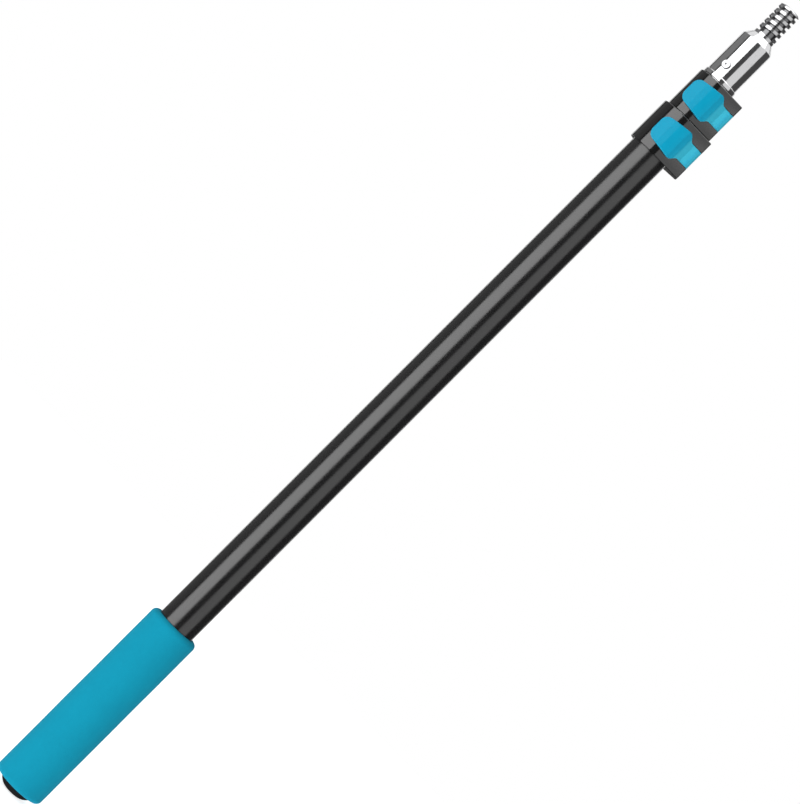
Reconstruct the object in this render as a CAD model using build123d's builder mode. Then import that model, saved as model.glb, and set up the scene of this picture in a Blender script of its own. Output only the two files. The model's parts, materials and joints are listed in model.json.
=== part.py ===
from build123d import *
import math
import os

# A three-section telescopic pole for a paint roller, closed to its shortest length.
# Millimetres. +Z runs up the pole from the butt to the threaded tip, -Y is the side that
# the two locking levers lie on, and +X is the side that they hinge on. The origin is on
# the pole's axis, at the flat of the butt cap.

# Driving sizes: the three tubes, nested with a 1 mm gap that the plastic guides fill
WALL = 1.0
OUTER_R = 16.0
MIDDLE_R = 14.0
INNER_R = 12.0
FIT = 0.05  # pieces that are fixed together
RUN = 0.12  # a tube that slides in a guide

# Stations along the pole
CAP_RIM = 12.0
GRIP_FROM = 6.0
GRIP_TO = 175.2
LOWER_FROM, LOWER_HEIGHT = 674.6, 36.4
UPPER_FROM, UPPER_HEIGHT = 711.4, 35.0
MIDDLE_FROM = 47.0
INNER_FROM = 70.0
FERRULE_FROM = 747.0
THREAD_FROM = 796.8
TIP = 824.4

# How far each section pulls out
MIDDLE_TRAVEL = 560.0
INNER_TRAVEL = 580.0

# Butt cap and grip
BUTT_FLAT_R = 5.0
DOME_HALF = (12.4, 2.9)
DOME_RIM = 9.0
GRIP_R = 21.8
GRIP_ROUND = 3.6

# Guides
BUSH_SLEEVE = 30.0
BUSH_BASE = 2.0
SPIGOT = 18.0
BEAD_UP, BEAD_R, BEAD_HIGH = 12.0, 0.15, 2.0
LINER_FLANGE = 1.2
STOP_GAP = 0.5

# Lock collars: a ring with an ear on the hinge side
TUBE_SHORT = 4.0  # how far the tube's end stays below the collar's top
EAR_REACH = 9.35
EAR_FRONT_SLOPE = 15.0
EAR_REAR_SLOPE = 30.0
EAR_ROUND = 1.6
COLLAR_ROUND = 0.7
LIP_CLEAR = 0.3

# Lever, hinge and brake pad
HUB_R = 5.0
HUB_HALF = 8.0
SLOT_HALF = 8.3
SLOT_IN = 6.3
CAM_R, CAM_OUT = 4.7, 0.9
CAM_GAP = 0.15
PIN_R = 1.6
LEVER_HOLE_R = PIN_R + 0.08
PIN_SHORT = 1.0
PAD_WIDE, PAD_HIGH = 12.0, 14.0
PAD_SLACK = 0.2
PAD_GAP = 0.1
WINDOW_SLACK = 0.5

# Lever outline, from the hinge: x towards the hinge side, then half widths
NECK_X, SHOULDER_X, LEVER_END = -6.2, -10.2, -34.4
SHOULDER_HALF, END_HALF = 13.0, 9.9
NECK_FILLET, SHOULDER_FILLET, END_FILLET = 3.0, 4.0, 6.5
LEVER_ROUND = 0.6
POCKET_FROM, POCKET_TO = 1.9, 5.7

# Ferrule and stud
FERRULE_R = 13.9
LIP_R, LIP_HIGH = 14.9, 3.4
SHOULDER_FROM, SHOULDER_TOP = 788.3, 794.2
FERRULE_MOUTH_R = 8.7
THREAD_R, THREAD_ROOT_R, THREAD_PITCH = 9.0, 6.6, 5.08
CREST_HALF, ROOT_HALF = 1.15, 1.75
RIVET_Z, RIVET_AT = 760.4, -114.0
RIVET_HEAD_R, RIVET_HOLE_R, RIVET_STEM_R = 3.9, 2.05, 1.1

LOCKS = {
    "lower": {"ring": 19.0, "tube": OUTER_R, "slider": MIDDLE_R, "from": LOWER_FROM, "high": LOWER_HEIGHT},
    "upper": {"ring": 16.3, "tube": MIDDLE_R, "slider": INNER_R, "from": UPPER_FROM, "high": UPPER_HEIGHT},
}


def place_lock(lock):
    """Works out where a lock's ear ends and where its lever hinges."""
    slope = math.radians(EAR_FRONT_SLOPE)
    lock["end"] = lock["ring"] + EAR_REACH
    lock["front"] = (lock["ring"] * math.sin(slope), -lock["ring"] * math.cos(slope))
    hinge_x = lock["end"] - HUB_R
    face_y = lock["front"][1] + math.tan(slope) * (hinge_x - lock["front"][0])
    hinge_y = face_y + HUB_R / math.cos(slope)
    lock["hinge"] = (hinge_x, hinge_y)
    lock["reach"] = math.hypot(hinge_x, hinge_y)
    lock["turn"] = math.degrees(math.atan2(hinge_y, hinge_x))
    lock["mid"] = lock["from"] + lock["high"] / 2
    lock["tube_end"] = lock["from"] + lock["high"] - TUBE_SHORT


def lock_plane(lock, z):
    """A plane across the pole at height z, with x towards the lever's hinge."""
    turn = math.radians(lock["turn"])
    return Plane(origin=(0, 0, z), x_dir=(math.cos(turn), math.sin(turn), 0), z_dir=(0, 0, 1))


def cut_window(lock):
    """Cuts the opening that the brake pad passes through, in a tube or a liner."""
    with BuildSketch(lock_plane(lock, lock["mid"] - PAD_HIGH / 2 - WINDOW_SLACK)) as window:
        with Locations((lock["tube"], 0)):
            Rectangle(2 * WALL + 6, PAD_WIDE + 2 * WINDOW_SLACK)
    extrude(window.sketch, amount=PAD_HIGH + 2 * WINDOW_SLACK, mode=Mode.SUBTRACT)


def cut_screw_hole(lock, radius):
    """Cuts the collar screw's hole through the wall at the back of the pole."""
    with BuildSketch(screw_plane(lock, lock["slider"])) as hole:
        Circle(radius)
    extrude(hole.sketch, amount=lock["ring"], mode=Mode.SUBTRACT)


def screw_plane(lock, distance):
    """A plane facing out of the back of the pole, on the collar screw's axis."""
    return Plane(origin=(0, distance, lock["from"] + 9.0), x_dir=(1, 0, 0), z_dir=(0, 1, 0))


def turned(points):
    """Turns an outline of (radius, height) points about the pole's axis."""
    with BuildSketch(Plane.XZ) as section:
        with BuildLine():
            Polyline(*points, close=True)
        make_face()
    revolve(section.sketch, axis=Axis.Z)


def save(made, node):
    """Labels a finished piece and writes its STEP file."""
    made.part.label = node
    export_step(made.part, f"parts/{node}.step")
    solids = made.part.solids()
    print(node, "solids", len(solids), "valid", made.part.is_valid, "volume", round(made.part.volume))


def cut_rivet_holes():
    """Cuts both rivet holes through the ferrule or the tube inside it."""
    for side in rivet_planes(INNER_R - 3):
        with BuildSketch(side) as hole:
            Circle(RIVET_HOLE_R)
        extrude(hole.sketch, amount=10, mode=Mode.SUBTRACT)


def tube(radius, z_from, z_to, lock=None, groove=False):
    """A round tube, with a lock's openings or rivet holes above and a bush groove below."""
    with BuildPart() as made:
        with BuildSketch(Plane.XY.offset(z_from)):
            Circle(radius)
            Circle(radius - WALL, mode=Mode.SUBTRACT)
        extrude(amount=z_to - z_from)
        if lock:
            cut_window(lock)
            cut_screw_hole(lock, 1.25)
        else:
            cut_rivet_holes()
        if groove:
            with BuildSketch(Plane.XY.offset(z_from + BEAD_UP)):
                Circle(radius - WALL + BEAD_R + 0.1)
            extrude(amount=BEAD_HIGH + 0.4, mode=Mode.SUBTRACT)
    return made


def foam_grip():
    """A sleeve of soft foam, rounded at both ends, that stands past the tube's butt end."""
    with BuildPart() as made:
        with BuildSketch(Plane.XY.offset(GRIP_FROM)):
            Circle(GRIP_R)
        extrude(amount=GRIP_TO - GRIP_FROM)
        fillet(made.edges().filter_by(GeomType.CIRCLE), GRIP_ROUND)
        with BuildSketch(Plane.XY.offset(GRIP_FROM)):
            Circle(OUTER_R + FIT)
        extrude(amount=GRIP_TO - GRIP_FROM, mode=Mode.SUBTRACT)
        chamfer(made.edges().filter_by(GeomType.CIRCLE).group_by(Axis.Z)[-1].sort_by(SortBy.RADIUS)[0], 1.0)
    return made


def butt_cap():
    """A domed cap with a ribbed plug that presses into the outer tube."""
    plug_r = OUTER_R - WALL - FIT
    with BuildPart() as made:
        with BuildSketch(Plane.XZ):
            with BuildLine():
                Line((0, 0), (BUTT_FLAT_R, 0))
                ThreePointArc((BUTT_FLAT_R, 0), DOME_HALF, (OUTER_R, DOME_RIM))
                outline = [(OUTER_R, DOME_RIM), (OUTER_R, CAP_RIM), (plug_r - 0.4, CAP_RIM)]
                for rib in range(3):
                    foot = CAP_RIM + 4 + 6 * rib
                    outline += [(plug_r - 0.4, foot), (plug_r, foot + 1.5), (plug_r - 0.4, foot + 3)]
                outline += [(plug_r - 0.4, CAP_RIM + 23), (plug_r - 1.6, CAP_RIM + 24)]
                outline += [(plug_r - 2.8, CAP_RIM + 24), (plug_r - 2.8, CAP_RIM), (0, CAP_RIM), (0, 0)]
                Polyline(*outline)
            make_face()
        revolve(axis=Axis.Z)
    return made


def tube_bush(radius, z_from):
    """The guide on a sliding tube's lower end: a sleeve outside it, a spigot inside it and a
    base below. A bead on the spigot clips in the tube's groove, where the tube can turn."""
    outside = radius + WALL - 0.15
    inside = radius - WALL - 0.1
    bead = radius - WALL + BEAD_R
    base = z_from - 0.15
    with BuildPart() as made:
        turned([
            (inside - 1.6, base - BUSH_BASE),
            (outside, base - BUSH_BASE),
            (outside, z_from + BUSH_SLEEVE),
            (radius + 0.1, z_from + BUSH_SLEEVE),
            (radius + 0.1, base),
            (inside, base),
            (inside, z_from + BEAD_UP + 0.2),
            (bead, z_from + BEAD_UP + 0.7),
            (bead, z_from + BEAD_UP + BEAD_HIGH - 0.3),
            (inside, z_from + BEAD_UP + BEAD_HIGH + 0.2),
            (inside, z_from + SPIGOT),
            (inside - 1.6, z_from + SPIGOT),
        ])
    return made


def guide_liner(lock, z_from):
    """A thin plastic sleeve in a tube's upper end that the next tube runs in. Its flange sits
    on the tube's end, under the collar's lip, and its lower end is the slider's stop."""
    bore = lock["slider"] + RUN
    end = lock["tube_end"]
    with BuildPart() as made:
        turned([
            (bore, z_from),
            (lock["tube"] - WALL - FIT, z_from),
            (lock["tube"] - WALL - FIT, end),
            (lock["tube"], end),
            (lock["tube"], end + LINER_FLANGE - FIT),
            (bore, end + LINER_FLANGE - FIT),
        ])
        cut_window(lock)
    return made


def collar(lock):
    """The lock's moulded body: a ring round both tubes, an ear slotted for the lever, and a
    pocket for the brake pad between the slot and the bore."""
    rear = math.radians(EAR_REAR_SLOPE)
    front_slope = math.tan(math.radians(EAR_FRONT_SLOPE))
    rear_x, rear_y = lock["ring"] * math.sin(rear), lock["ring"] * math.cos(rear)
    end_front = lock["front"][1] + front_slope * (lock["end"] - lock["front"][0])
    end_rear = rear_y - math.tan(rear) * (lock["end"] - rear_x)
    with BuildPart() as made:
        with BuildSketch(Plane.XY.offset(lock["from"])) as outline:
            Circle(lock["ring"])
            with BuildLine():
                Polyline((0, 0), lock["front"], (lock["end"], end_front), (lock["end"], end_rear),
                         (rear_x, rear_y), close=True)
            make_face()
            fillet(outline.vertices().group_by(Axis.X)[-1], EAR_ROUND)
        extrude(amount=lock["high"])
        ends = made.faces().filter_by(Axis.Z)
        fillet(ends.edges(), COLLAR_ROUND)
        with BuildSketch(Plane.XY.offset(lock["from"])):
            Circle(lock["tube"] + FIT)
        extrude(amount=lock["high"] - TUBE_SHORT + LINER_FLANGE, mode=Mode.SUBTRACT)
        with BuildSketch(Plane.XY.offset(lock["from"])):
            Circle(lock["slider"] + LIP_CLEAR)
        extrude(amount=lock["high"], mode=Mode.SUBTRACT)
        with BuildSketch(lock_plane(lock, lock["mid"] - SLOT_HALF)):
            with Locations((lock["reach"] - SLOT_IN + 15, 0)):
                Rectangle(30, 60)
        extrude(amount=2 * SLOT_HALF, mode=Mode.SUBTRACT)
        with BuildSketch(lock_plane(lock, lock["mid"] - PAD_HIGH / 2 - PAD_SLACK)):
            with Locations((lock["reach"] - SLOT_IN, 0)):
                Rectangle(12, PAD_WIDE + 2 * PAD_SLACK)
        extrude(amount=PAD_HIGH + 2 * PAD_SLACK, mode=Mode.SUBTRACT)
        with BuildSketch(Plane.XY.offset(lock["from"])):
            with Locations(lock["hinge"]):
                Circle(PIN_R + 0.02)
        extrude(amount=lock["high"], mode=Mode.SUBTRACT)
        with BuildSketch(screw_plane(lock, lock["ring"] - 1.3)):
            Circle(2.6)
        extrude(amount=3, mode=Mode.SUBTRACT)
        cut_screw_hole(lock, 1.25)
    return made


def hinge_pin(lock):
    """The steel pin that the lever turns on, pressed into the ear."""
    with BuildPart() as made:
        with BuildSketch(Plane.XY.offset(lock["from"] + PIN_SHORT)):
            with Locations(lock["hinge"]):
                Circle(PIN_R)
        extrude(amount=lock["high"] - 2 * PIN_SHORT)
        chamfer(made.edges(), 0.3)
    return made


def collar_screw(lock):
    """A small cross-head screw through the collar's back into the tube wall."""
    seat = lock["ring"] - 1.3 + 0.02
    with BuildPart() as made:
        with BuildSketch(screw_plane(lock, seat)):
            Circle(2.4)
        extrude(amount=1.1)
        fillet(made.edges().filter_by(GeomType.CIRCLE).group_by(Axis.Y)[-1], 0.5)
        with BuildSketch(screw_plane(lock, seat + 0.4)):
            Rectangle(2.6, 0.6)
            Rectangle(0.6, 2.6)
        extrude(amount=2, mode=Mode.SUBTRACT)
        with BuildSketch(screw_plane(lock, lock["tube"] - WALL + 0.1)):
            Circle(1.2)
        extrude(amount=seat - lock["tube"] + WALL - 0.1)
    return made


def brake_pad(lock):
    """The shoe between the cam and the sliding tube, hollowed to fit the tube."""
    back = lock["reach"] - CAM_R - CAM_OUT - CAM_GAP
    grip = lock["slider"] + PAD_GAP
    with BuildPart() as made:
        with BuildSketch(lock_plane(lock, lock["mid"] - PAD_HIGH / 2)):
            with Locations((back / 2, 0)):
                Rectangle(back, PAD_WIDE)
            Circle(grip, mode=Mode.SUBTRACT)
        extrude(amount=PAD_HIGH)
        outward = lock_plane(lock, 0).x_dir
        back_face = made.faces().sort_by(lambda face: face.center().dot(outward))[-1]
        fillet(back_face.edges(), 0.4)
    return made


def on_front_rim(edge, lock):
    """Whether an edge of the lever runs round the outline of its front face."""
    middle = edge.position_at(0.5)
    x, y = middle.X - lock["hinge"][0], middle.Y - lock["hinge"][1]
    along = edge % 0.5
    crease = abs(along.Y) > 0.99 or abs(along.Z) > 0.99 and x > LEVER_END + 0.5
    inner_face = max(-7.3 + 0.27 * (x + 5.6), -11.5 - 0.27 * (x + 26.5))
    return x < NECK_X - 0.5 and not crease and y < inner_face - 0.6


def lever(lock):
    """The flip lever, shut: a curved plate in front of the collar, a neck and a cam hub."""
    turn = math.radians(lock["turn"])
    base = Plane(origin=(*lock["hinge"], lock["mid"]), x_dir=(1, 0, 0), z_dir=(0, 0, 1))
    front = Plane(origin=(*lock["hinge"], lock["mid"]), x_dir=(1, 0, 0), z_dir=(0, -1, 0))
    with BuildPart() as made:
        # side profile, seen along the pole
        with BuildSketch(base) as profile:
            with BuildLine():
                Polyline((2.2, -4.5), (-3.2, -7.2), (-12.3, -12.9))
                ThreePointArc((-12.3, -12.9), (-16.6, -13.85), (-20.9, -14.2))
                Polyline((-20.9, -14.2), (-25.8, -13.7), (LEVER_END, -10.6), (LEVER_END, -9.3),
                         (-26.5, -11.4), (-20.5, -11.5), (-5.6, -7.3), (-4.2, -4.0), (0, 0), (2.2, -4.5))
            make_face()
            for corner_x, radius in ((-12.3, 2.0), (-20.9, 2.0), (-25.8, 2.0)):
                fillet(profile.vertices().filter_by_position(Axis.X, corner_x - 0.1, corner_x + 0.1), radius)
            Circle(HUB_R)
            with Locations((-CAM_OUT * math.cos(turn), -CAM_OUT * math.sin(turn))):
                Circle(CAM_R)
        extrude(amount=SHOULDER_HALF + 1, both=True)
        # outline, seen from the front
        with BuildSketch(front) as outline:
            with BuildLine():
                Polyline((HUB_R + 1, HUB_HALF), (NECK_X, HUB_HALF), (SHOULDER_X, SHOULDER_HALF),
                         (LEVER_END, END_HALF), (LEVER_END, -END_HALF), (SHOULDER_X, -SHOULDER_HALF),
                         (NECK_X, -HUB_HALF), (HUB_R + 1, -HUB_HALF), close=True)
            make_face()
            corners = ((LEVER_END, END_FILLET), (SHOULDER_X, SHOULDER_FILLET), (NECK_X, NECK_FILLET))
            for corner_x, radius in corners:
                fillet(outline.vertices().filter_by_position(Axis.X, corner_x - 0.1, corner_x + 0.1), radius)
        extrude(amount=40, both=True, mode=Mode.INTERSECT)
        # soft edges round the front of the plate
        rim = made.edges().filter_by(lambda edge: on_front_rim(edge, lock))
        fillet(rim, LEVER_ROUND)
        # two moulded pockets in the neck
        with BuildSketch(base) as pocket:
            with BuildLine():
                Polyline((-10.5, -12.4), (-3.0, -5.3), (1.6, -4.0), (1.6, -14.0), (-10.5, -14.0), close=True)
            make_face()
        for side in (1, -1):
            floor = pocket.sketch.moved(Location((0, 0, side * POCKET_FROM)))
            extrude(floor, amount=side * (POCKET_TO - POCKET_FROM), mode=Mode.SUBTRACT)
        with BuildSketch(base):
            Circle(LEVER_HOLE_R)
        extrude(amount=SHOULDER_HALF, both=True, mode=Mode.SUBTRACT)
    return made


def ferrule():
    """The plated steel cup on the inner tube's end, flared at its mouth and coned at its top."""
    bore = INNER_R + FIT
    with BuildPart() as made:
        with BuildSketch(Plane.XZ) as section:
            with BuildLine():
                Polyline((bore, FERRULE_FROM), (LIP_R, FERRULE_FROM), (LIP_R - 0.2, FERRULE_FROM + LIP_HIGH),
                         (FERRULE_R, FERRULE_FROM + LIP_HIGH + 0.6), (FERRULE_R, SHOULDER_FROM),
                         (FERRULE_MOUTH_R + 0.8, SHOULDER_TOP), (FERRULE_MOUTH_R, SHOULDER_TOP),
                         (FERRULE_MOUTH_R, SHOULDER_TOP - 2.2), (bore, SHOULDER_FROM - 1.2), close=True)
            make_face()
            fillet(section.vertices().filter_by_position(Axis.X, LIP_R - 0.3, LIP_R), 0.8)
            foot = section.vertices().filter_by_position(Axis.Y, SHOULDER_FROM - 0.1, SHOULDER_FROM + 0.1)
            fillet(foot, 1.2)
            brow = section.vertices().filter_by_position(Axis.Y, SHOULDER_TOP - 0.1, SHOULDER_TOP)[-1]
            fillet(brow, 0.6)
        revolve(axis=Axis.Z)
        cut_rivet_holes()
    return made


def rivet_planes(distance):
    """Planes facing out of the ferrule on the two rivets' axis, one on each side."""
    planes = []
    for angle in (RIVET_AT, RIVET_AT + 180):
        out = Vector(math.cos(math.radians(angle)), math.sin(math.radians(angle)), 0)
        planes.append(Plane(origin=out * distance + Vector(0, 0, RIVET_Z), x_dir=(0, 0, 1), z_dir=out))
    return planes


def ferrule_rivets():
    """Two blind rivets: a domed head outside, a shank, a set tail inside and a hollow stem."""
    with BuildPart() as made:
        for side in rivet_planes(FERRULE_R - 0.7):
            with BuildSketch(side):
                Circle(RIVET_HEAD_R)
            extrude(amount=1.9, taper=20)
        with BuildSketch(Plane.XY.offset(FERRULE_FROM)):
            Circle(FERRULE_R)
        extrude(amount=30, mode=Mode.SUBTRACT)
        for side in rivet_planes(INNER_R - WALL - 1.8):
            with BuildSketch(side):
                Circle(RIVET_HOLE_R + 0.6)
            extrude(amount=1.4)
            with BuildSketch(side):
                Circle(RIVET_HOLE_R - 0.03)
            extrude(amount=FERRULE_R + 0.6 - INNER_R + WALL + 1.8)
        for side in rivet_planes(FERRULE_R - 0.4):
            with BuildSketch(side):
                Circle(RIVET_STEM_R)
            extrude(amount=3, mode=Mode.SUBTRACT)
    return made


def threaded_stud():
    """The stud that tools screw on to: a flange held inside the ferrule, a plain land and an
    ACME thread with a chamfered start."""
    neck = FERRULE_MOUTH_R - 0.1
    land = SHOULDER_TOP + 0.3
    deep = THREAD_R - THREAD_ROOT_R
    first_turn = THREAD_FROM + ROOT_HALF + 0.5
    with BuildPart() as ridge:
        with BuildLine() as path:
            rise = TIP + 2 - first_turn
            Helix(pitch=THREAD_PITCH, height=rise, radius=THREAD_ROOT_R, center=(0, 0, first_turn))
        with BuildSketch(Plane(origin=path.line @ 0, x_dir=(1, 0, 0), z_dir=path.line % 0)):
            with BuildLine():
                Polyline((-0.3, -ROOT_HALF - 0.1), (deep, -CREST_HALF), (deep, CREST_HALF),
                         (-0.3, ROOT_HALF + 0.1), close=True)
            make_face()
        sweep(path=path.line, is_frenet=True)
    with BuildPart() as made:
        with BuildSketch(Plane.XY.offset(THREAD_FROM)):
            Circle(THREAD_ROOT_R)
        extrude(amount=TIP - THREAD_FROM + THREAD_PITCH)
        add(ridge.part)
        with BuildSketch(Plane.XZ) as envelope:
            with BuildLine():
                Polyline((0, THREAD_FROM), (THREAD_R + 1, THREAD_FROM), (THREAD_R + 1, TIP - 2.1),
                         (THREAD_ROOT_R + 0.8, TIP), (0, TIP), close=True)
            make_face()
        revolve(envelope.sketch, axis=Axis.Z, mode=Mode.INTERSECT)
        turned([
            (0, SHOULDER_FROM - 6.5),
            (INNER_R, SHOULDER_FROM - 6.5),
            (INNER_R, SHOULDER_FROM - 1.4),
            (neck, SHOULDER_TOP - 2.5),
            (neck, land),
            (THREAD_R, land),
            (THREAD_R, THREAD_FROM),
            (THREAD_ROOT_R, THREAD_FROM + 0.4),
            (0, THREAD_FROM + 0.4),
        ])
    return made


def main():
    os.makedirs("parts", exist_ok=True)
    for lock in LOCKS.values():
        place_lock(lock)
    lower, upper = LOCKS["lower"], LOCKS["upper"]
    stud_foot = SHOULDER_FROM - 6.5

    save(tube(OUTER_R, CAP_RIM, lower["tube_end"], lower), "outer_tube")
    save(foam_grip(), "foam_grip")
    save(butt_cap(), "butt_cap")
    save(tube(MIDDLE_R, MIDDLE_FROM, upper["tube_end"], upper, groove=True), "middle_tube")
    save(tube(INNER_R, INNER_FROM, stud_foot - 0.1, groove=True), "inner_tube")
    save(tube_bush(MIDDLE_R, MIDDLE_FROM), "middle_tube_bush")
    save(tube_bush(INNER_R, INNER_FROM), "inner_tube_bush")
    save(guide_liner(lower, MIDDLE_FROM + BUSH_SLEEVE + MIDDLE_TRAVEL + STOP_GAP), "lower_guide_liner")
    save(guide_liner(upper, INNER_FROM + BUSH_SLEEVE + INNER_TRAVEL + STOP_GAP), "upper_guide_liner")
    for name, lock in LOCKS.items():
        save(collar(lock), f"{name}_collar")
        save(hinge_pin(lock), f"{name}_hinge_pin")
        save(collar_screw(lock), f"{name}_collar_screw")
        save(brake_pad(lock), f"{name}_brake_pad")
        save(lever(lock), f"{name}_lever")
    save(ferrule(), "ferrule")
    save(ferrule_rivets(), "ferrule_rivets")
    save(threaded_stud(), "threaded_stud")


main()
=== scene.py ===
import json
import math

import bpy
from mathutils import Matrix, Vector, noise


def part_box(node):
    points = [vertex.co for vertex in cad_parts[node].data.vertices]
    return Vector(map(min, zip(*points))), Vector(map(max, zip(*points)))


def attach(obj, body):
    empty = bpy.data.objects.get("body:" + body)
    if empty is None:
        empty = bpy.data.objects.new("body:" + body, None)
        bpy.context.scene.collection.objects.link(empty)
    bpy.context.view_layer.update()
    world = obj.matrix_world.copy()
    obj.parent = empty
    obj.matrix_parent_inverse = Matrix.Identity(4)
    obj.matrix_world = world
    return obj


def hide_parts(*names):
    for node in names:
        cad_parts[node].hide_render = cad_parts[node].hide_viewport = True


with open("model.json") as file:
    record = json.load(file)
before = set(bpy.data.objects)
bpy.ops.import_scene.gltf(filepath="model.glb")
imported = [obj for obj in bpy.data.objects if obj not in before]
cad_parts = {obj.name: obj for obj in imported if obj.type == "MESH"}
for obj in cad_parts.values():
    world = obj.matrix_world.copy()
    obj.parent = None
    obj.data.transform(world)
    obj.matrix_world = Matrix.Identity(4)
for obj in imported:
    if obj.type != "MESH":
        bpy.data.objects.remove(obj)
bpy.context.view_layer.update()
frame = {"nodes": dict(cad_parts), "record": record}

nodes = frame["nodes"]

# ---------------------------------------------------------------- camera
FOCAL_PX = 3481.0
FRAME_WIDE = 800
CAMERA_AT = Vector((0.0, -2.6, 0.45))
PITCH = math.radians(-0.84)
ROLL = math.radians(44.96)


def add_camera():
    """A long lens, rolled so that the upright pole lies on the frame's diagonal."""
    data = bpy.data.cameras.new("camera")
    data.sensor_fit = "HORIZONTAL"
    data.sensor_width = 36.0
    data.lens = FOCAL_PX / FRAME_WIDE * data.sensor_width
    data.clip_start = 0.05
    data.clip_end = 50.0
    camera = bpy.data.objects.new("camera", data)
    bpy.context.scene.collection.objects.link(camera)
    forward = Vector((0.0, math.cos(PITCH), math.sin(PITCH)))
    upright = Vector((0.0, -math.sin(PITCH), math.cos(PITCH)))
    right = Vector((1.0, 0.0, 0.0)) * math.cos(ROLL) + upright * math.sin(ROLL)
    up = right.cross(forward)
    turn = Matrix((right, up, -forward)).transposed().to_4x4()
    camera.matrix_world = Matrix.Translation(CAMERA_AT) @ turn
    bpy.context.scene.camera = camera


add_camera()

# ---------------------------------------------------------------- light
AIM = Vector((0.0, 0.0, 0.42))
SEEN_WHITE = 1.0
LIT_GREY = 0.06


def add_softbox(name, azimuth, distance, height, wide, tall, radiance, glossy, diffuse):
    """An area light at an azimuth round the pole (0 is the camera's side, + is towards +X)."""
    data = bpy.data.lights.new(name, "AREA")
    data.shape = "RECTANGLE"
    data.size = wide
    data.size_y = tall
    data.energy = radiance * math.pi * wide * tall
    light = bpy.data.objects.new(name, data)
    bpy.context.scene.collection.objects.link(light)
    angle = math.radians(azimuth)
    light.location = Vector((math.sin(angle) * distance, -math.cos(angle) * distance, height))
    light.rotation_euler = (AIM - light.location).to_track_quat("-Z", "Y").to_euler()
    light.visible_camera = False
    light.visible_glossy = glossy
    light.visible_diffuse = diffuse


# name, azimuth (degrees), distance, height, width, height of the box (metres), radiance, glossy, diffuse
SOFTBOXES = (
    ("left_box", -38.0, 1.7, 0.62, 1.9, 3.0, 1.9, True, True),
    ("right_box", 50.0, 1.7, 0.62, 1.7, 3.0, 0.62, True, True),
    ("left_panel", -105.0, 2.0, 0.62, 2.0, 3.0, 0.13, True, True),
    ("rear_left_box", -158.0, 2.2, 0.7, 0.8, 2.6, 0.8, True, True),
    ("rear_right_box", 158.0, 2.2, 0.7, 0.8, 2.6, 0.7, True, True),
    ("front_fill", -14.0, 3.0, 0.9, 2.6, 2.6, 0.07, False, True),
    ("rear_fill", 180.0, 3.0, 0.9, 3.0, 3.0, 0.35, False, True),
    ("top_box", 0.0, 0.01, 3.0, 2.4, 2.4, 0.9, True, True),
    ("top_sheen", 0.0, 0.01, 3.2, 6.0, 6.0, 0.75, True, False),
)
for softbox in SOFTBOXES:
    add_softbox(*softbox)


def add_world():
    """White where the camera looks past the object, dim grey where the object reflects it."""
    world = bpy.data.worlds.new("studio")
    bpy.context.scene.world = world
    world.use_nodes = True
    tree = world.node_tree
    tree.nodes.clear()
    out = tree.nodes.new("ShaderNodeOutputWorld")
    seen, lit = (tree.nodes.new("ShaderNodeBackground") for _ in range(2))
    for background, strength in ((seen, SEEN_WHITE), (lit, LIT_GREY)):
        background.inputs["Color"].default_value = (1.0, 1.0, 1.0, 1.0)
        background.inputs["Strength"].default_value = strength
    path = tree.nodes.new("ShaderNodeLightPath")
    mix = tree.nodes.new("ShaderNodeMixShader")
    tree.links.new(path.outputs["Is Camera Ray"], mix.inputs["Fac"])
    tree.links.new(lit.outputs[0], mix.inputs[1])
    tree.links.new(seen.outputs[0], mix.inputs[2])
    tree.links.new(mix.outputs[0], out.inputs["Surface"])


add_world()
bpy.context.scene.view_settings.view_transform = "Standard"
bpy.context.scene.view_settings.look = "None"


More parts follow.
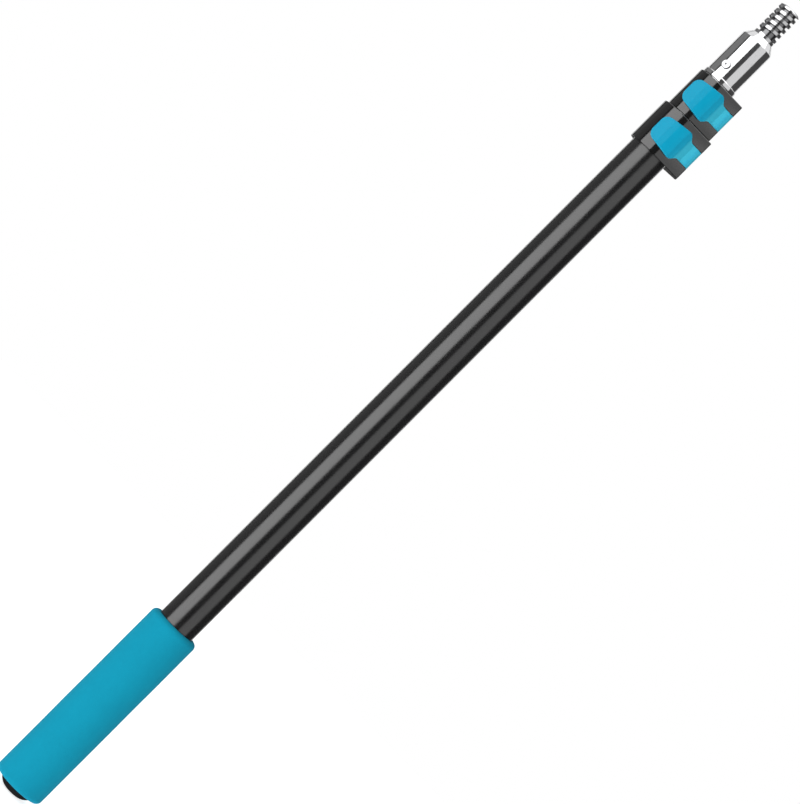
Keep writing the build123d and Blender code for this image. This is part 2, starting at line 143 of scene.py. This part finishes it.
# ---------------------------------------------------------------- materials
class Shader:
    """A node material under construction; every texture is laid out in the object's own metres."""

    def __init__(self, name, color, roughness, metallic=0.0):
        self.mat = bpy.data.materials.new(name)
        self.mat.use_nodes = True
        self.tree = self.mat.node_tree
        self.bsdf = self.tree.nodes["Principled BSDF"]
        self.color = (*color, 1.0)
        self.set("Base Color", self.color)
        self.set("Roughness", roughness)
        self.set("Metallic", metallic)
        self.coords = self.tree.nodes.new("ShaderNodeTexCoord").outputs["Object"]
        self.bumps = None

    def set(self, socket, value):
        self.bsdf.inputs[socket].default_value = value

    def node(self, kind, **values):
        made = self.tree.nodes.new(kind)
        for key, value in values.items():
            setattr(made, key, value)
        return made

    def link(self, a, b):
        self.tree.links.new(a, b)

    def stretched(self, scale):
        """The coordinates with each axis scaled, for grain that runs one way."""
        mapping = self.node("ShaderNodeMapping")
        mapping.inputs["Scale"].default_value = scale
        self.link(self.coords, mapping.inputs["Vector"])
        return mapping.outputs["Vector"]

    def noise(self, scale, detail=3.0, rough=0.55, vector=None):
        made = self.node("ShaderNodeTexNoise")
        made.inputs["Scale"].default_value = scale
        made.inputs["Detail"].default_value = detail
        made.inputs["Roughness"].default_value = rough
        self.link(vector or self.coords, made.inputs["Vector"])
        return made.outputs["Fac"]

    def cells(self, scale, feature="F1", vector=None):
        made = self.node("ShaderNodeTexVoronoi", feature=feature)
        made.inputs["Scale"].default_value = scale
        self.link(vector or self.coords, made.inputs["Vector"])
        return made.outputs["Distance"]

    def remap(self, value, low, high, to_low, to_high):
        made = self.node("ShaderNodeMapRange")
        limits = {"From Min": low, "From Max": high, "To Min": to_low, "To Max": to_high}
        for socket, number in limits.items():
            made.inputs[socket].default_value = number
        self.link(value, made.inputs["Value"])
        return made.outputs["Result"]

    def tint(self, factor, color):
        """Mixes another colour into the base colour where the factor is high."""
        mix = self.node("ShaderNodeMix", data_type="RGBA")
        socket = self.bsdf.inputs["Base Color"]
        if socket.is_linked:
            self.link(socket.links[0].from_socket, mix.inputs["A"])
        else:
            mix.inputs["A"].default_value = self.color
        mix.inputs["B"].default_value = (*color, 1.0)
        self.link(factor, mix.inputs["Factor"])
        self.link(mix.outputs["Result"], socket)
        return self

    def rough(self, value, low, high, to_low, to_high):
        self.link(self.remap(value, low, high, to_low, to_high), self.bsdf.inputs["Roughness"])
        return self

    def bump(self, height, distance, strength=1.0):
        made = self.node("ShaderNodeBump")
        made.inputs["Distance"].default_value = distance
        made.inputs["Strength"].default_value = strength
        self.link(height, made.inputs["Height"])
        if self.bumps:
            self.link(self.bumps, made.inputs["Normal"])
        self.bumps = made.outputs["Normal"]
        self.link(self.bumps, self.bsdf.inputs["Normal"])
        return self

    def radius(self):
        """The distance from the pole's axis."""
        flat = self.stretched((1.0, 1.0, 0.0))
        made = self.node("ShaderNodeVectorMath", operation="LENGTH")
        self.link(flat, made.inputs[0])
        return made.outputs["Value"]

    def edges(self, low, high):
        """A mask of the mesh's outer edges and corners, where a painted highlight is laid."""
        geometry = self.node("ShaderNodeNewGeometry")
        return self.remap(geometry.outputs["Pointiness"], low, high, 0.0, 1.0)


def powder_coat():
    s = Shader("black_powder_coat", (0.004, 0.004, 0.0042), 0.2)
    s.set("Specular IOR Level", 0.9)
    s.set("Coat Weight", 0.85)
    s.set("Coat Roughness", 0.24)
    s.bump(s.noise(1300.0, 2.0), 0.00002, 0.3)
    s.rough(s.noise(60.0, 4.0), 0.3, 0.7, 0.17, 0.26)
    scuffs = s.noise(14.0, 6.0, 0.7, s.stretched((40.0, 40.0, 2.0)))
    s.tint(s.remap(scuffs, 0.66, 0.80, 0.0, 0.30), (0.03, 0.03, 0.031))
    return s.mat


def foam():
    s = Shader("teal_foam_skin", (0.004, 0.305, 0.455), 0.85)
    s.set("Specular IOR Level", 0.10)
    s.tint(s.remap(s.noise(35.0, 4.0), 0.35, 0.70, 0.0, 0.35), (0.004, 0.26, 0.395))
    pits = s.cells(1100.0)
    # painted shade: the colour darkens down in the hollows of the foam's pits
    s.tint(s.remap(pits, 0.0, 0.22, 0.55, 0.0), (0.004, 0.14, 0.23))
    s.bump(s.remap(pits, 0.0, 0.5, 0.0, 1.0), 0.00016, 0.55)
    s.bump(s.noise(260.0, 4.0), 0.00035, 0.30)
    return s.mat


def gloss_black():
    s = Shader("black_moulded_gloss", (0.004, 0.0039, 0.0040), 0.12)
    s.set("Specular IOR Level", 0.9)
    s.set("Coat Weight", 0.8)
    s.set("Coat Roughness", 0.05)
    s.bump(s.noise(220.0, 2.0), 0.00004, 0.18)
    s.rough(s.noise(90.0, 5.0, 0.65), 0.35, 0.75, 0.09, 0.20)
    # painted highlight: the outer edges and corners are tinted lighter
    s.tint(s.edges(0.53, 0.60), (0.035, 0.034, 0.034))
    return s.mat


def matt_black():
    s = Shader("black_moulded_matt", (0.012, 0.012, 0.0125), 0.5)
    s.bump(s.noise(1800.0, 2.0), 0.00005, 0.5)
    s.rough(s.noise(70.0, 4.0), 0.3, 0.7, 0.42, 0.58)
    s.tint(s.remap(s.noise(45.0, 5.0, 0.7), 0.6, 0.78, 0.0, 0.5), (0.03, 0.03, 0.031))
    return s.mat


def teal_plastic():
    s = Shader("teal_moulded_plastic", (0.002, 0.335, 0.530), 0.34)
    s.set("Specular IOR Level", 0.16)
    s.bump(s.noise(900.0, 2.0), 0.00003, 0.25)
    s.rough(s.noise(80.0, 4.0), 0.3, 0.7, 0.27, 0.38)
    s.tint(s.remap(s.noise(30.0, 3.0), 0.4, 0.75, 0.0, 0.25), (0.002, 0.30, 0.485))
    # painted highlight: the outer edges and corners are tinted a lighter teal
    s.tint(s.edges(0.515, 0.57), (0.05, 0.52, 0.70))
    return s.mat


def drawn_aluminium():
    s = Shader("drawn_aluminium", (0.72, 0.72, 0.725), 0.25, 1.0)
    lines = s.noise(1.0, 4.0, 0.6, s.stretched((2600.0, 2600.0, 12.0)))
    s.bump(lines, 0.00002, 0.35)
    s.rough(s.noise(1.0, 3.0, 0.5, s.stretched((900.0, 900.0, 9.0))), 0.3, 0.7, 0.20, 0.33)
    s.tint(s.remap(s.noise(22.0, 4.0), 0.35, 0.7, 0.0, 0.5), (0.64, 0.64, 0.65))
    return s.mat


def bright_plate():
    s = Shader("bright_chrome_plate", (0.90, 0.90, 0.91), 0.08, 1.0)
    rings = s.noise(1.0, 4.0, 0.6, s.stretched((60.0, 60.0, 2400.0)))
    s.bump(rings, 0.000012, 0.35)
    s.rough(s.noise(120.0, 5.0, 0.65), 0.35, 0.75, 0.06, 0.17)
    s.tint(s.remap(s.noise(160.0, 6.0, 0.7), 0.55, 0.75, 0.0, 0.55), (0.60, 0.60, 0.61))
    return s.mat


THREAD_ROOT = 0.0068
THREAD_CREST = 0.0086


def plated_thread():
    """The stud's plate: bright on the crests and flanks, with painted shade darkening it down in the
    thread's roots.
    """
    s = Shader("chrome_plated_thread", (0.78, 0.78, 0.79), 0.2, 1.0)
    s.rough(s.noise(500.0, 4.0, 0.65), 0.35, 0.75, 0.15, 0.30)
    s.bump(s.noise(1500.0, 3.0), 0.00003, 0.4)
    s.tint(s.remap(s.noise(600.0, 5.0, 0.7), 0.5, 0.75, 0.0, 0.6), (0.50, 0.50, 0.51))
    # painted shade: the colour darkens from the crests down into the thread's roots
    s.tint(s.remap(s.radius(), THREAD_ROOT, THREAD_CREST, 1.0, 0.0), (0.26, 0.26, 0.265))
    return s.mat


def steel(name, color, low, high):
    s = Shader(name, color, 0.3, 1.0)
    s.rough(s.noise(300.0, 4.0), 0.3, 0.7, low, high)
    s.bump(s.noise(1400.0, 3.0), 0.00003, 0.4)
    s.tint(s.remap(s.noise(420.0, 4.0), 0.55, 0.75, 0.0, 0.6), tuple(part * 0.7 for part in color))
    return s.mat


def acetal():
    s = Shader("natural_acetal", (0.70, 0.69, 0.64), 0.4)
    s.set("Subsurface Weight", 0.15)
    s.set("Subsurface Radius", (0.002, 0.002, 0.0015))
    s.bump(s.noise(1200.0, 2.0), 0.00003, 0.3)
    s.tint(s.remap(s.noise(120.0, 4.0), 0.4, 0.7, 0.0, 0.4), (0.62, 0.60, 0.54))
    return s.mat


def brake_rubber():
    s = Shader("brake_rubber", (0.05, 0.05, 0.05), 0.75)
    s.bump(s.noise(1500.0, 4.0), 0.00012, 0.6)
    s.tint(s.remap(s.noise(300.0, 4.0), 0.5, 0.75, 0.0, 0.6), (0.09, 0.09, 0.09))
    return s.mat


looks = {
    "black_coat": powder_coat(),
    "teal_foam": foam(),
    "black_cap": matt_black(),
    "black_gloss": gloss_black(),
    "natural_acetal": acetal(),
    "steel": steel("zinc_steel", (0.56, 0.56, 0.57), 0.22, 0.36),
    "teal_plastic": teal_plastic(),
    "brake_rubber": brake_rubber(),
    "satin_aluminium": drawn_aluminium(),
    "bright_plate": bright_plate(),
    "rivet_steel": steel("rivet_steel", (0.70, 0.70, 0.71), 0.14, 0.26),
}

own_looks = {"threaded_stud": plated_thread()}
slots = {part["node"]: part["material_slot"] for part in frame["record"]["subparts"]}
for name, obj in nodes.items():
    look = own_looks.get(name) or looks[slots[name]]
    if not obj.material_slots:
        obj.data.materials.append(look)
    for place in obj.material_slots:
        place.material = look


# ---------------------------------------------------------------- foam grip
FOAM_BORE = 0.01607
FOAM_SOFT_END = 0.0042
END_STEPS = 8
LENGTH_ROWS = 150
AROUND = 144
BROAD_WAVE = 0.00012
FINE_WAVE = 0.00005


def build_grip():
    """The foam sleeve as a lathed skin with soft ends and the slight unevenness of cut foam."""
    low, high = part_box("foam_grip")
    bore = FOAM_BORE
    outer = (high[0] - low[0]) / 2
    bottom, top = low[2], high[2]
    soft = FOAM_SOFT_END
    outline = []
    for step in range(3):
        outline.append((bore + (outer - soft - bore) * step / 3, bottom))
    for step in range(END_STEPS + 1):
        angle = math.pi / 2 * step / END_STEPS
        outline.append((outer - soft + soft * math.sin(angle), bottom + soft - soft * math.cos(angle)))
    for row in range(1, LENGTH_ROWS):
        outline.append((outer, bottom + soft + (top - bottom - 2 * soft) * row / LENGTH_ROWS))
    for step in range(END_STEPS + 1):
        angle = math.pi / 2 * step / END_STEPS
        outline.append((outer - soft + soft * math.cos(angle), top - soft + soft * math.sin(angle)))
    for step in range(1, 4):
        outline.append((outer - soft - (outer - soft - bore - 0.001) * step / 3, top))
    outline.append((bore, top - 0.0012))
    around = AROUND
    verts, faces = [], []
    for radius, z in outline:
        for k in range(around):
            angle = 2 * math.pi * k / around
            place = Vector((math.cos(angle), math.sin(angle), 0.0))
            wave = noise.noise(Vector((place.x * 1.6, place.y * 1.6, z * 30.0)))
            fine = noise.noise(Vector((place.x * 9.0, place.y * 9.0, z * 420.0)))
            share = min(1.0, max(0.0, (radius - bore - 0.0015) / 0.004))
            r = radius + share * (wave * BROAD_WAVE + fine * FINE_WAVE - BROAD_WAVE)
            verts.append((place.x * r, place.y * r, z))
    for row in range(len(outline) - 1):
        for k in range(around):
            a = row * around + k
            b = row * around + (k + 1) % around
            faces.append((a, b, b + around, a + around))
    last = len(outline) - 1
    for k in range(around):
        a = last * around + k
        b = last * around + (k + 1) % around
        faces.append((a, b, (k + 1) % around, k))
    mesh = bpy.data.meshes.new("foam_sleeve")
    mesh.from_pydata(verts, [], faces)
    mesh.polygons.foreach_set("use_smooth", [True] * len(mesh.polygons))
    mesh.update()
    sleeve = bpy.data.objects.new("foam_sleeve", mesh)
    bpy.context.scene.collection.objects.link(sleeve)
    mesh.materials.append(looks["teal_foam"])
    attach(sleeve, "handle")
    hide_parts("foam_grip")


build_grip()


# ---------------------------------------------------------------- floor
FLOOR_CORNERS = 128
FLOOR_RADIUS = 2.6
FLOOR_Z = -0.0004


def add_floor():
    """A plain pale disc that the pole stands on, bright enough to meet the white surroundings."""
    turns = [2 * math.pi * k / FLOOR_CORNERS for k in range(FLOOR_CORNERS)]
    verts = [(math.cos(turn) * FLOOR_RADIUS, math.sin(turn) * FLOOR_RADIUS, FLOOR_Z) for turn in turns]
    mesh = bpy.data.meshes.new("floor")
    mesh.from_pydata(verts, [], [tuple(range(FLOOR_CORNERS))])
    floor = bpy.data.objects.new("floor", mesh)
    bpy.context.scene.collection.objects.link(floor)
    s = Shader("pale_floor", (0.90, 0.90, 0.90), 0.85)
    s.set("Specular IOR Level", 0.1)
    s.set("Emission Color", (1.0, 1.0, 1.0, 1.0))
    s.set("Emission Strength", 0.80)
    s.tint(s.remap(s.noise(3.0, 3.0), 0.4, 0.7, 0.0, 0.3), (0.88, 0.88, 0.88))
    mesh.materials.append(s.mat)
    floor.visible_glossy = False


add_floor()
